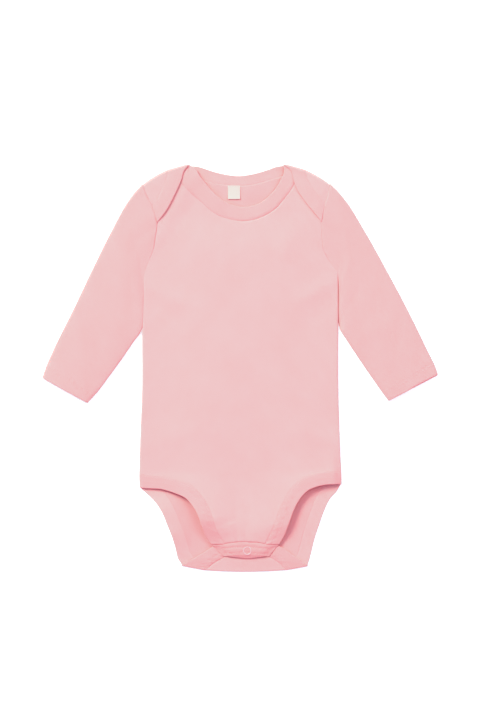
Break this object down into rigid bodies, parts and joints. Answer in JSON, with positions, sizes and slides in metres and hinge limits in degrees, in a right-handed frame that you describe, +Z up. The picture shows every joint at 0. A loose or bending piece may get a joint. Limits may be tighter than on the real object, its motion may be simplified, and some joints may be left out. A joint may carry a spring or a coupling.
{
  "type": "long-sleeved baby bodysuit",
  "caption": "Baby bodysuit laid flat: long sleeves, envelope neck with lapped shoulders, bound neck and leg openings, and a snapped crotch flap.",
  "frame": {"origin": "centre of the footprint, on the surface that the garment lies on", "axes": "+Z up out of the front of the flat garment, +Y towards the neck, +X across the body to the wearer's left sleeve"},
  "size_m": [0.4156, 0.4289, 0.0087],
  "materials": {
    "jersey": "matte pink cotton jersey with a soft sheen",
    "binding": "doubled pink jersey binding with twin-needle stitching",
    "snap": "pale pink enamelled ring snap, semi-gloss",
    "label": "blank off-white woven tape"
  },
  "bodies": {
    "root": {"back_panel": "jersey", "front_panel": "jersey", "sleeve_left": "jersey", "sleeve_right": "jersey", "neck_band_back": "binding", "neck_band_front": "binding", "leg_band_front_left": "binding", "leg_band_front_right": "binding", "leg_band_back_left": "binding", "leg_band_back_right": "binding", "placket_front": "binding", "placket_back": "binding", "snap_ring": "snap", "snap_stud_and_socket": "snap", "label": "label"}
  },
  "joints": []
}
